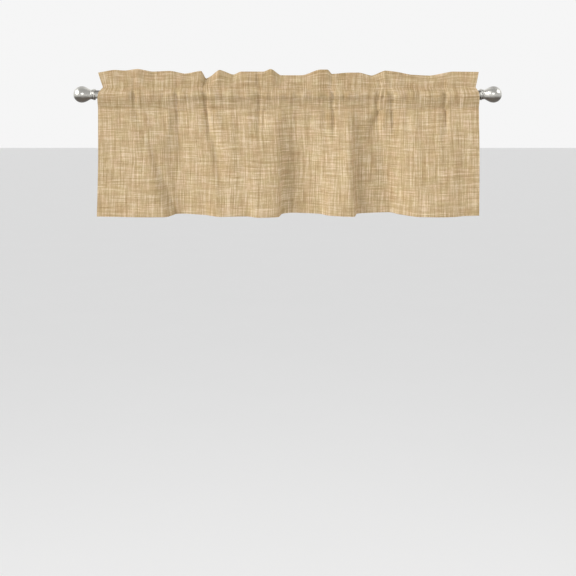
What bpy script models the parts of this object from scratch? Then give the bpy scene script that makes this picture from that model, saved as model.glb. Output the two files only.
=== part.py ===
"""A rod pocket valance of woven cloth on its curtain rod, with a turned finial at each end.

Metres. X runs along the rod, the front of the cloth faces -Y, and +Z is up. The origin is on
the rod's axis, half way between the finials.
"""
import math
from collections import namedtuple

import bpy
import numpy as np

# ---- driving dimensions -----------------------------------------------------------------
ROD_RADIUS = 0.0127          # a one inch rod
ROD_HALF_LENGTH = 0.6004     # its ends are inside the finials' collars
ROD_SIDES = 48
SEAT_GAP = 0.0003            # between the rod and whatever sits on it

CLOTH = 0.0016               # one layer of cloth
HEADER_GAP = 0.0009          # between the two layers of the header
SEAM_HEIGHT = 0.0035         # the stitched strip at each seam
LOWER_SEAM_Z = -0.0440       # middle of the seam that closes the pocket under the rod
UPPER_SEAM_Z = 0.0225        # middle of the seam between the pocket and the header
MIDDLE_Z = -0.200            # the height that the fold lines' middle columns are given at
HEM_Z = -0.3735              # the hem, where the cloth stands neither forward nor back
HEM_DROP = 0.34              # how much lower a stretch of hem hangs for each metre forward
HEADER_MEAN_Z = 0.069        # height of the header's top edge that stands upright
FOLD_HASTE = 1.6             # over 1, the folds open sooner under the pocket
HEADER_LEAN = 0.55           # how far forward the top edge leans for each metre above that
TOP_FOLD = 0.003             # height of the rounded fold along the header's top
HEADER_ROWS = (0.5, 1.0)     # upper seam to the start of that fold

PANEL_ROWS = (0.0, 0.10, 0.23, 0.38, 0.55, 0.72, 0.87, 1.0)    # lower seam to hem
GATHER_WIDTH = 0.0055        # half width of a pinched gather
GATHER_FADE_Z = -0.150       # the pinched gathers have died away here
GATHER_IN_PANEL = 0.5        # share of a gather's depth that is left under the pocket
FULL_PINCH = 0.004           # a gather this deep draws the pocket right in to the rod

SEAM_SWAY = 0.0025           # most that the upper seam strays from over the rod's axis
SEAM_LEAN = 0.3              # share of the header's lean that the seam under it takes
EDGE_DRAW_POWER = 4          # how near to the upper seam the side edges are drawn in
LEAST_PUFF = 0.002           # the pocket stands off the rod at least this far between gathers
PUFF_ROUND_ROD = (1.0, 0.8, 0.25)    # share of the puff at each turn round the rod, going up
PUFF_BACK = 0.45             # the pocket's back puffs out this much of its front
TURN_UNDER_Z = -0.0195       # where the front layer has turned in under the rod
TURN_UNDER_OUT = 0.0072      # how far forward it still is there
TURN_UNDER_PUFF = 0.5
WRAP_MARGIN = 0.0002         # for the flats between the turns round the rod

STATION_SPACING = 0.0195     # widest step between two sections of the cloth
SHORTEST_STEP = 0.0045       # and the narrowest

# Fold lines run down the cloth from the upper seam to the hem, from left to right. Each row
# says where one crosses the upper seam, the pocket's lower seam, the middle and the hem, how
# far forward of the rod's axis the cloth stands on it, and how deeply it is pinched there.
FoldLine = namedtuple(
    "FoldLine", "name x_seam x_pocket x_middle x_hem out_pocket out_middle out_hem pinch")
FOLD_LINES = [
    FoldLine("left edge", -0.573, -0.587, -0.586, -0.589, 0.003, 0.005, 0.010, 0),
    FoldLine("left dip", -0.523, -0.523, -0.520, -0.529, 0.005, 0.005, 0.012, 0),
    FoldLine("first crest", -0.489, -0.492, -0.452, -0.439, 0.006, 0.007, 0.016, 0),
    FoldLine("slope head", -0.478, -0.474, -0.424, -0.380, 0.006, 0.007, 0.015, 0.004),
    FoldLine("slope foot", -0.463, -0.458, -0.402, -0.346, 0.005, 0.003, -0.010, 0),
    FoldLine("first valley", -0.343, -0.343, -0.340, -0.319, 0.004, -0.008, -0.012, 0.005),
    FoldLine("valley lip", -0.310, -0.308, -0.258, -0.252, 0.005, 0.001, -0.001, 0),
    FoldLine("notch gather", -0.257, -0.252, -0.228, -0.230, 0.004, 0.004, 0.007, 0.008),
    FoldLine("second crest", -0.232, -0.228, -0.196, -0.205, 0.005, 0.010, 0.013, 0),
    FoldLine("second low foot", -0.150, -0.148, -0.137, -0.129, 0.005, 0.011, 0.009, 0),
    FoldLine("twin gather", -0.088, -0.086, -0.089, -0.086, 0.005, 0.014, 0.019, 0.006),
    FoldLine("wall head", -0.034, -0.044, -0.028, -0.030, 0.005, 0.012, 0.014, 0),
    FoldLine("wall foot", -0.016, -0.008, -0.015, -0.018, 0.006, -0.002, -0.010, 0),
    FoldLine("second valley", 0.024, 0.024, 0.021, 0.016, 0.003, -0.019, -0.019, 0),
    FoldLine("third lobe left", 0.086, 0.086, 0.090, 0.098, 0.006, -0.010, -0.011, 0),
    FoldLine("third gather", 0.135, 0.139, 0.134, 0.131, 0.005, 0.003, 0.004, 0.006),
    FoldLine("step head", 0.195, 0.197, 0.196, 0.204, 0.006, 0.014, 0.012, 0),
    FoldLine("step foot", 0.211, 0.213, 0.206, 0.216, 0.003, -0.004, -0.012, 0),
    FoldLine("third valley", 0.256, 0.252, 0.256, 0.262, 0.001, -0.014, -0.019, 0),
    FoldLine("vee gather", 0.287, 0.277, 0.292, 0.312, 0.003, -0.020, -0.023, 0.008),
    FoldLine("vee second leg", 0.320, 0.324, 0.325, 0.350, 0.004, -0.012, -0.006, 0.005),
    FoldLine("fourth crest", 0.370, 0.380, 0.393, 0.408, 0.006, 0.010, 0.014, 0),
    FoldLine("fourth lobe right", 0.451, 0.454, 0.474, 0.474, 0.006, 0.013, 0.016, 0),
    FoldLine("last gather", 0.483, 0.486, 0.503, 0.509, 0.004, 0.013, 0.014, 0.007),
    FoldLine("right slope", 0.540, 0.540, 0.548, 0.550, 0.005, 0.006, 0.006, 0),
    FoldLine("right edge", 0.583, 0.592, 0.594, 0.593, 0.003, 0.004, 0.003, 0),
]

# The header's top edge from left to right: where it is, and its height over the rod's axis.
HeaderPoint = namedtuple("HeaderPoint", "x z")
HEADER_EDGE = [
    HeaderPoint(-0.587, 0.068), HeaderPoint(-0.535, 0.076), HeaderPoint(-0.504, 0.074),
    HeaderPoint(-0.464, 0.079), HeaderPoint(-0.419, 0.071), HeaderPoint(-0.363, 0.073),
    HeaderPoint(-0.319, 0.065), HeaderPoint(-0.268, 0.073), HeaderPoint(-0.254, 0.050),
    HeaderPoint(-0.239, 0.057), HeaderPoint(-0.211, 0.076), HeaderPoint(-0.168, 0.062),
    HeaderPoint(-0.145, 0.071), HeaderPoint(-0.075, 0.071), HeaderPoint(-0.052, 0.079),
    HeaderPoint(-0.021, 0.060), HeaderPoint(0.045, 0.060), HeaderPoint(0.100, 0.077),
    HeaderPoint(0.124, 0.077), HeaderPoint(0.137, 0.064), HeaderPoint(0.190, 0.068),
    HeaderPoint(0.221, 0.068), HeaderPoint(0.261, 0.059), HeaderPoint(0.303, 0.074),
    HeaderPoint(0.339, 0.070), HeaderPoint(0.382, 0.062), HeaderPoint(0.441, 0.059),
    HeaderPoint(0.512, 0.071), HeaderPoint(0.592, 0.070),
]

# Finials, along their own axis from the middle of the ball, which is at x = -/+ BALL_X.
BALL_RADIUS = 0.0254
BALL_X = 0.6381
NECK_LENGTH = 0.0300         # from the ball's middle to the end of its taper
NECK_RADIUS = 0.0138
TAPER_POWER = 1.2            # 1 would be a plain quarter of a cosine
SOCKET_RADIUS = ROD_RADIUS + SEAT_GAP
SOCKET_FLOOR = BALL_X - ROD_HALF_LENGTH - SEAT_GAP
TurnedPoint = namedtuple("TurnedPoint", "radius along")
COLLAR = [                   # bead, groove and ring, from the neck towards the rod
    TurnedPoint(0.0152, 0.0304), TurnedPoint(0.0156, 0.0316), TurnedPoint(0.0156, 0.0338),
    TurnedPoint(0.0150, 0.0348), TurnedPoint(0.0140, 0.0352), TurnedPoint(0.0140, 0.0360),
    TurnedPoint(0.0169, 0.0364), TurnedPoint(0.0175, 0.0374), TurnedPoint(0.0175, 0.0412),
    TurnedPoint(0.0169, 0.0422),
]
FINIAL_STEPS = 32
BALL_STEPS = 9               # points along the round half of the ball
TAPER_STEPS = 8              # and along its taper
SHARP_FOLD = math.radians(50)
SHARP_RIM = math.radians(40)

FABRIC_COLOUR = (0.565, 0.423, 0.248, 1.0)
NICKEL_COLOUR = (0.60, 0.57, 0.53, 1.0)


# ---- scene and materials ----------------------------------------------------------------
def clear_scene():
    for item in list(bpy.data.objects):
        bpy.data.objects.remove(item)


def new_collection(name):
    group = bpy.data.collections.new(name)
    bpy.context.scene.collection.children.link(group)
    return group


def new_material(name, colour, roughness, metallic):
    material = bpy.data.materials.new(name)
    material.use_nodes = True
    shader = material.node_tree.nodes["Principled BSDF"]
    shader.inputs["Base Color"].default_value = colour
    shader.inputs["Roughness"].default_value = roughness
    shader.inputs["Metallic"].default_value = metallic
    material.diffuse_color = colour
    return material


def add_object(name, mesh, group, material):
    item = bpy.data.objects.new(name, mesh)
    mesh.materials.append(material)
    group.objects.link(item)
    return item


# ---- curves through the tables ----------------------------------------------------------
def smooth_through(knots, values, at):
    """A curve through the values that never swings past them."""
    knots, values, at = (np.asarray(a, float) for a in (knots, values, at))
    step = np.diff(knots)
    rise = np.diff(values) / step
    slope = np.zeros_like(values)
    before, after = rise[:-1], rise[1:]
    same_way = before * after > 0
    weight = (2 * step[1:] + step[:-1]) / (3 * (step[1:] + step[:-1]))
    mean = before * after / np.where(same_way, weight * after + (1 - weight) * before, 1.0)
    slope[1:-1] = np.where(same_way, mean, 0.0)
    slope[0], slope[-1] = rise[0], rise[-1]
    i = np.clip(np.searchsorted(knots, at) - 1, 0, len(step) - 1)
    t = (at - knots[i]) / step[i]
    near = (1 + 2 * t) * (1 - t) ** 2 * values[i] + t * (1 - t) ** 2 * step[i] * slope[i]
    far = t ** 2 * (3 - 2 * t) * values[i + 1] - t ** 2 * (1 - t) * step[i] * slope[i + 1]
    return near + far


def fold_column(column, stations):
    """One column of the fold lines, at each station across the cloth."""
    knots = [line.x_pocket for line in FOLD_LINES]
    return smooth_through(knots, [getattr(line, column) for line in FOLD_LINES], stations)


def down_the_cloth(stations, name, z, haste=1.0):
    """A value between its pocket, middle and hem columns, at the height z of each station."""
    pocket, middle, hem = (fold_column(f"{name}_{level}", stations)
                           for level in ("pocket", "middle", "hem"))
    upper = 1 - (1 - np.clip((LOWER_SEAM_Z - z) / (LOWER_SEAM_Z - MIDDLE_Z), 0, 1)) ** haste
    lower = np.maximum((MIDDLE_Z - z) / (MIDDLE_Z - HEM_Z), 0) ** (1 + (haste - 1) * 0.6)
    return pocket + (middle - pocket) * upper + (hem - middle) * lower


def gathers(stations, z):
    """How far the pinched gathers draw the cloth back towards the rod at the height z."""
    fade = np.clip((z - GATHER_FADE_Z) / (LOWER_SEAM_Z - GATHER_FADE_Z), 0, 1)
    depth = np.zeros_like(stations)
    for line in FOLD_LINES:
        if line.pinch:
            depth += line.pinch * np.exp(-((stations - line.x_pocket) / GATHER_WIDTH) ** 2)
    return depth * fade


def cloth_stations():
    """Where the sections of the cloth stand: on the fold lines, and evenly between them."""
    wanted = []
    for line in FOLD_LINES:
        wanted.append(line.x_pocket)
        if line.pinch:
            wanted += [line.x_pocket - GATHER_WIDTH, line.x_pocket + GATHER_WIDTH]
    wanted += [point.x for point in HEADER_EDGE]
    low, high = FOLD_LINES[0].x_pocket, FOLD_LINES[-1].x_pocket
    kept = [low]
    for x in sorted(wanted):
        if kept[-1] + SHORTEST_STEP < x < high - SHORTEST_STEP:
            kept.append(x)
    kept.append(high)
    stations = [low]
    for a, b in zip(kept, kept[1:]):
        count = math.ceil((b - a) / STATION_SPACING)
        stations += [a + (b - a) * (i + 1) / count for i in range(count)]
    return np.array(stations)


# ---- cloth ------------------------------------------------------------------------------
def pocket_arc():
    """Angles above the horizontal where a pocket layer turns round the rod, bottom to top."""
    under = math.asin(ROD_RADIUS / abs(LOWER_SEAM_Z + SEAM_HEIGHT / 2))
    over = math.asin(ROD_RADIUS / (UPPER_SEAM_Z - SEAM_HEIGHT / 2))
    return [-under, (over - under) / 2, over]


def inner_faces(stations):
    """The cloth's inner side, row by row from the hem to the top of the header.

    Returns the rows of the front layer and those of the back layer. A row where the two
    layers are one, as under the pocket and in a seam, is the same in both.
    """
    hem_z = HEM_Z - HEM_DROP * fold_column("out_hem", stations)
    seam_x = fold_column("x_seam", stations)
    pocket_x = fold_column("x_pocket", stations)
    pocket_out = fold_column("out_pocket", stations)
    header_z = np.interp(stations, [p.x for p in HEADER_EDGE], [p.z for p in HEADER_EDGE])
    header_out = HEADER_LEAN * (header_z - HEADER_MEAN_Z)

    def row(x, out, z):
        return np.stack([x + 0 * stations, -out + 0 * stations, z + 0 * stations], axis=1)

    front, back = [], []

    def add(front_row, back_row=None):
        front.append(front_row)
        back.append(front_row if back_row is None else back_row)

    panel_top_z = LOWER_SEAM_Z - SEAM_HEIGHT / 2
    for part in reversed(PANEL_ROWS):
        z = panel_top_z + (hem_z - panel_top_z) * part
        out = down_the_cloth(stations, "out", z, FOLD_HASTE)
        out = out - GATHER_IN_PANEL * gathers(stations, z)
        add(row(down_the_cloth(stations, "x", z), out, z))
    low_z = LOWER_SEAM_Z + SEAM_HEIGHT / 2
    low_out = pocket_out - GATHER_IN_PANEL * gathers(stations, LOWER_SEAM_Z)
    add(row(pocket_x, low_out, low_z))

    puff = pocket_out - pocket_out.min() + LEAST_PUFF
    puff = puff * (1 - np.clip(gathers(stations, 0.0) / FULL_PINCH, 0, 1))
    angles = pocket_arc()
    reach = SOCKET_RADIUS / math.cos((angles[1] - angles[0]) / 2) + WRAP_MARGIN
    top_z = UPPER_SEAM_Z - SEAM_HEIGHT / 2

    def pocket_x_at(z):
        climb = (z - low_z) / (top_z - low_z)
        return pocket_x + (seam_x - pocket_x) * climb ** EDGE_DRAW_POWER

    touch_out, touch_z = reach * math.cos(angles[0]), reach * math.sin(angles[0])
    fall = (touch_z - TURN_UNDER_Z) / (touch_z - low_z)
    turn_out = TURN_UNDER_OUT + fall * (low_out - pocket_out.mean()) + TURN_UNDER_PUFF * puff
    back_out = -touch_out + fall * (low_out + touch_out)
    turn_x = pocket_x_at(TURN_UNDER_Z)
    add(row(turn_x, turn_out, TURN_UNDER_Z), row(turn_x, back_out, TURN_UNDER_Z))
    for angle, share in zip(angles, PUFF_ROUND_ROD):
        out, z = reach * math.cos(angle), reach * math.sin(angle)
        x = pocket_x_at(z)
        add(row(x, out + share * puff, z), row(x, -out - share * puff * PUFF_BACK, z))

    seam_out = SEAM_LEAN * (header_out - gathers(stations, LOWER_SEAM_Z))
    seam_out = np.clip(seam_out, -SEAM_SWAY, SEAM_SWAY)
    for z in (top_z, UPPER_SEAM_Z + SEAM_HEIGHT / 2):
        add(row(seam_x, seam_out, z))
    bottom = UPPER_SEAM_Z + SEAM_HEIGHT / 2
    peak = header_z - CLOTH
    for part in HEADER_ROWS:
        z = bottom + (peak - TOP_FOLD - bottom) * part
        x = seam_x + (pocket_x - seam_x) * part
        out = seam_out + (header_out - seam_out) * part
        add(row(x, out + HEADER_GAP / 2, z), row(x, out - HEADER_GAP / 2, z))
    add(row(pocket_x, header_out, peak))
    return np.array(front), np.array(back)


def outer_face(inner, side):
    """The inner rows moved out by the cloth's thickness. side is -1 for front, +1 for back."""
    across = np.gradient(inner, axis=1)
    upward = np.gradient(inner, axis=0)
    normal = np.cross(upward, across) * side
    normal /= np.linalg.norm(normal, axis=2, keepdims=True)
    return inner + CLOTH * normal


def build_cloth(group, material):
    """Closed sections side by side: front panel, pocket round the rod, and doubled header."""
    stations = cloth_stations()
    front, back = inner_faces(stations)
    front_outer, back_outer = outer_face(front, -1), outer_face(back, 1)
    ridge = front[-1] + np.array([0, 0, CLOTH])
    rows = len(front)
    first_back = len(PANEL_ROWS) - 1

    section, points = {}, []

    def place(key, row_points):
        section[key] = len(points)
        points.append(row_points)

    for r in range(rows):
        place(("front inner", r), front[r])
        place(("front outer", r), front_outer[r] if r < rows - 1 else ridge)
        if r < first_back:
            continue
        if np.array_equal(front[r], back[r]):
            section["back inner", r] = section["front inner", r]
        else:
            place(("back inner", r), back[r])
        if r < rows - 1:
            place(("back outer", r), back_outer[r])
        else:
            section["back outer", r] = section["front outer", r]

    cells = []
    for r in range(rows - 1):
        cells.append([section["front outer", r], section["front inner", r],
                      section["front inner", r + 1], section["front outer", r + 1]])
        if r >= first_back:
            cells.append([section["back inner", r], section["back outer", r],
                          section["back outer", r + 1], section["back inner", r + 1]])
    edges = [(a, b) for cell in cells for a, b in zip(cell, cell[1:] + cell[:1])]
    shared = set(edges)
    skin = [(a, b) for a, b in edges if (b, a) not in shared]

    width = len(points)
    count = len(stations)
    corners = [tuple(points[k][i]) for i in range(count) for k in range(width)]
    faces = [[i * width + a, i * width + b, (i + 1) * width + b, (i + 1) * width + a]
             for i in range(count - 1) for a, b in skin]
    faces += [cell[::-1] for cell in cells]
    faces += [[(count - 1) * width + a for a in cell] for cell in cells]
    mesh = bpy.data.meshes.new("valance")
    mesh.from_pydata(corners, [], faces)
    mesh.shade_smooth()
    mesh.set_sharp_from_angle(angle=SHARP_FOLD)
    return add_object("valance", mesh, group, material)


# ---- rod and finials --------------------------------------------------------------------
def build_rod(group, material):
    bpy.ops.mesh.primitive_cylinder_add(
        vertices=ROD_SIDES, radius=ROD_RADIUS, depth=2 * ROD_HALF_LENGTH,
        rotation=(0, math.pi / 2, 0))
    rod = bpy.context.active_object
    rod.name = "rod"
    for home in list(rod.users_collection):
        home.objects.unlink(rod)
    group.objects.link(rod)
    rod.data.materials.append(material)
    rod.data.shade_smooth()
    rod.data.set_sharp_from_angle(angle=SHARP_RIM)
    return rod


def finial_profile():
    """Outline from the ball's tip to the socket's floor: (radius, place along the axis)."""
    outline = []
    for i in range(BALL_STEPS + 1):
        turn = math.pi / 2 * i / BALL_STEPS
        outline.append((BALL_RADIUS * math.sin(turn), -BALL_RADIUS * math.cos(turn)))
    for i in range(1, TAPER_STEPS + 1):
        part = i / TAPER_STEPS
        swell = max(0.0, math.cos(math.pi / 2 * part)) ** TAPER_POWER
        outline.append((NECK_RADIUS + (BALL_RADIUS - NECK_RADIUS) * swell, NECK_LENGTH * part))
    outline += [(point.radius, point.along) for point in COLLAR]
    outline.append((SOCKET_RADIUS, COLLAR[-1].along))
    outline.append((SOCKET_RADIUS, SOCKET_FLOOR))
    outline.append((0.0, SOCKET_FLOOR))
    return outline


def build_finial(name, side, group, material):
    """side is -1 for the left end and +1 for the right."""
    outline = finial_profile()
    mesh = bpy.data.meshes.new(name)
    mesh.from_pydata([(r, 0, -along) for r, along in outline],
                     [(i, i + 1) for i in range(len(outline) - 1)], [])
    finial = add_object(name, mesh, group, material)
    finial.location = (side * BALL_X, 0, 0)
    finial.rotation_euler = (0, side * math.pi / 2, 0)
    screw = finial.modifiers.new("turned", "SCREW")
    screw.axis = "Z"
    screw.steps = FINIAL_STEPS
    screw.render_steps = FINIAL_STEPS
    screw.use_merge_vertices = True
    screw.merge_threshold = 0.00001
    screw.use_smooth_shade = True
    return finial


def main():
    clear_scene()
    group = new_collection("rod_pocket_valance")
    fabric = new_material("woven_cloth", FABRIC_COLOUR, 0.9, 0.0)
    nickel = new_material("satin_nickel", NICKEL_COLOUR, 0.28, 1.0)
    build_cloth(group, fabric)
    build_rod(group, nickel)
    build_finial("finial_left", -1, group, nickel)
    build_finial("finial_right", 1, group, nickel)


main()
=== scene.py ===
"""A rod pocket valance of slub linen, gathered on its curtain rod between turned finials.

Metres. X runs along the rod, the front of the cloth faces -Y, and +Z is up. The origin is on
the rod's axis, half way between the finials.
"""
import math
from collections import namedtuple

import bpy
import numpy as np
from bpy.props import FloatProperty, FloatVectorProperty, IntProperty, PointerProperty
from bpy.types import Operator, Panel, PropertyGroup
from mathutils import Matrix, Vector


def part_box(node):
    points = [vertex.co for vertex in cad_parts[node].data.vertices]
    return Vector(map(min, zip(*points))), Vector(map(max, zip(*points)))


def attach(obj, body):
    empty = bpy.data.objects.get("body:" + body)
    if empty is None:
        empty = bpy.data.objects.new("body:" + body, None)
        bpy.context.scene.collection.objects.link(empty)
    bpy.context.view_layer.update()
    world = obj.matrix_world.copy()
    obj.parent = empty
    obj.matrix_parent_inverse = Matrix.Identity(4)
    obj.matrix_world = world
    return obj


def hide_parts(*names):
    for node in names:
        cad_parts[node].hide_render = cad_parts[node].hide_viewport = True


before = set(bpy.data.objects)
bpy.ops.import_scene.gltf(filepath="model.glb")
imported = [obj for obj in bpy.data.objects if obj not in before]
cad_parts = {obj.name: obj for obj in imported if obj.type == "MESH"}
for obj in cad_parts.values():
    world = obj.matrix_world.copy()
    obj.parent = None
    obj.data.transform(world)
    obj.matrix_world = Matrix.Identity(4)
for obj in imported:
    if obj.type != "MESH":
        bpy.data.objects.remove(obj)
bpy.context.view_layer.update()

bl_info = {
    "name": "Rod Pocket Valance",
    "version": (1, 0, 0),
    "blender": (4, 5, 0),
    "location": "3D View > Sidebar > Valance",
    "description": "Makes a gathered rod pocket valance on its rod with two finials",
    "category": "Add Mesh",
}

ROD_LOW, ROD_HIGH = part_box("rod")
ROD_RADIUS = (ROD_HIGH.z - ROD_LOW.z) / 2

# ---- the cloth's shape ----
SEAM_HEIGHT = 0.0035  # the stitched strip at each seam
LOWER_SEAM_Z = -0.0440  # middle of the seam that closes the pocket under the rod
UPPER_SEAM_Z = 0.0225  # middle of the seam between the pocket and the header
MIDDLE_Z = -0.200  # the height that the fold lines' middle columns are given at
HEM_Z = -0.3735  # the hem, where the cloth stands neither forward nor back
HEM_DROP = 0.34  # how much lower a stretch of hem hangs for each metre forward
HEADER_MEAN_Z = 0.069  # height of the header's top edge that stands upright
HEADER_LEAN = 0.55  # how far forward the top edge leans for each metre above that
FOLD_HASTE = 1.6  # over 1, the folds open sooner under the pocket
LOWER_HASTE = 0.6  # share of that which is left under the middle
GATHER_WIDTH = 0.0055  # half width of a pinched gather
GATHER_FADE_Z = -0.150  # the pinched gathers have died away here
GATHER_IN_PANEL = 0.5  # share of a gather's depth that is left under the pocket
FULL_PINCH = 0.004  # a gather this deep draws the pocket right in to the rod
SEAM_SWAY = 0.0025  # most that the upper seam strays from over the rod's axis
SEAM_LEAN = 0.3  # share of the header's lean that the seam under it takes
EDGE_DRAW_POWER = 4  # how near to the upper seam the side edges are drawn in
LEAST_PUFF = 0.004  # the pocket stands off the rod at least this far between gathers
PUFF_BACK = 0.45  # the pocket's back puffs out this much of its front
PUFF_ROUND_ROD = (1.0, 0.8, 0.25)  # share of it under the rod, half way up and over the rod
TURN_UNDER_Z = -0.0195  # where the front layer has turned in under the rod
TURN_UNDER_OUT = 0.0060  # how far forward it still is there
TAUT_OUT = 0.0120  # and nearer to the sides, where it hangs straighter
SLACK_LEFT, SLACK_RIGHT = (-0.37, -0.32), (0.40, 0.32)  # between these it changes to slack
TURN_UNDER_PUFF = 0.5  # share of the pocket's puff that is left there
ROD_CLEARANCE = 0.0006  # least gap between the rod and the cloth round it
HEADER_CURVE = 0.55  # share of the header's edge that is curved between its points
PANEL_FORWARD = 0.0011  # the panel is this far forward, so that its hems lie in the solid
HEADER_HALF_GAP = 0.00115  # half of what parts the middles of the header's two layers
SEAM_HALF_GAP = 0.00005  # half of what parts the two layers at a seam
SEAM_ALLOWANCE = 0.006  # the back layer runs on under the lower seam
ALLOWANCE_BACK = 1.1  # and lies this many thicknesses behind the panel
HEM_GAP = 0.0002  # between the panel and its turned hem
SIDE_HEM_GAP = 0.0005  # between the panel and its side hems, which hold two gaps
HEM_STITCH_INSET = 0.003  # the hem's stitches, from its upper edge
SIDE_STITCH_INSET = 0.002  # a side hem's stitches, from its inner edge
STITCH_MARGIN = 0.004  # the long rows of stitches stop this far from the side edges
SIDE_HEM_SHIFT = 3.0  # along the flat cloth, so that a side hem has yarns of its own

# How many rows of points each stretch of the cloth has.
PANEL_ROWS, CLOSE_ROWS, CLOSE_SHARE = 27, 7, 0.12  # the close rows are in the panel's top share
POCKET_ROWS, ROUND_ROD_ROWS, HEADER_ROWS, HEM_ROWS, FOLD_ROWS = 7, 10, 8, 6, 4
OVER_ROD_PARTS = (0.3, 0.6, 0.85)  # places of the rows between the rod and the upper seam
SEAM_PARTS = (-0.5, 0.0, 0.5)  # places of a seam's rows, in its heights from its middle


def from_millimetres(kind, rows):
    """A table whose lengths are written in millimetres, turned into metres."""
    return [kind(*(value if isinstance(value, str) else value / 1000 for value in row))
            for row in rows]


# Fold lines run down the cloth from the upper seam to the hem, from left to right. Each row
# says where one crosses the upper seam, the pocket's lower seam, the middle and the hem, how
# far forward of the rod's axis the cloth stands on it, and how deeply it is pinched there.
FoldLine = namedtuple(
    "FoldLine", "name x_seam x_pocket x_middle x_hem out_pocket out_middle out_hem pinch")
FOLD_LINES = from_millimetres(FoldLine, [
    ("left edge", -573, -587, -586, -589, 3, 5, 10, 0),
    ("left dip", -523, -523, -520, -529, 5, 5, 12, 0),
    ("first crest", -489, -492, -452, -439, 6, 7, 16, 0),
    ("slope head", -478, -474, -424, -380, 6, 7, 15, 4),
    ("slope foot", -463, -458, -402, -346, 5, 3, -10, 0),
    ("first valley", -343, -343, -340, -319, 4, -8, -12, 5),
    ("valley lip", -310, -308, -258, -252, 5, 1, -1, 0),
    ("notch gather", -257, -252, -228, -230, 4, 4, 7, 8),
    ("second crest", -232, -228, -196, -205, 5, 10, 13, 0),
    ("second low foot", -150, -148, -137, -129, 5, 11, 9, 0),
    ("twin gather", -88, -86, -89, -86, 5, 14, 19, 6),
    ("wall head", -42, -44, -28, -30, 5, 12, 14, 0),
    ("wall foot", -10, -8, -15, -18, 6, -2, -10, 0),
    ("second valley", 24, 24, 21, 16, 3, -19, -19, 0),
    ("third lobe left", 86, 86, 90, 98, 6, -10, -11, 0),
    ("third gather", 135, 139, 134, 131, 5, 3, 4, 6),
    ("step head", 195, 197, 196, 204, 6, 14, 12, 0),
    ("step foot", 211, 213, 206, 216, 3, -4, -12, 0),
    ("third valley", 256, 252, 256, 262, 1, -14, -19, 0),
    ("vee gather", 287, 277, 292, 312, 3, -20, -23, 8),
    ("vee second leg", 320, 324, 325, 350, 4, -12, -6, 5),
    ("fourth crest", 379, 380, 393, 408, 6, 10, 14, 0),
    ("fourth lobe right", 451, 454, 474, 474, 6, 13, 16, 0),
    ("last gather", 483, 486, 503, 509, 4, 13, 14, 7),
    ("right slope", 540, 540, 548, 550, 5, 6, 6, 0),
    ("right edge", 583, 592, 594, 593, 3, 4, 3, 0),
])

# The header's top edge from left to right: where it is, and its height over the rod's axis.
HeaderPoint = namedtuple("HeaderPoint", "x z")
HEADER_EDGE = from_millimetres(HeaderPoint, [
    (-587, 68), (-535, 76), (-504, 74), (-464, 79), (-419, 71), (-363, 73), (-319, 65),
    (-268, 73), (-254, 50), (-239, 57), (-211, 76), (-168, 62), (-145, 71), (-75, 71),
    (-52, 79), (-21, 60), (45, 60), (100, 77), (124, 77), (137, 64), (190, 68), (221, 68),
    (261, 59), (303, 74), (339, 70), (382, 62), (441, 59), (512, 71), (592, 70),
])

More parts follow.
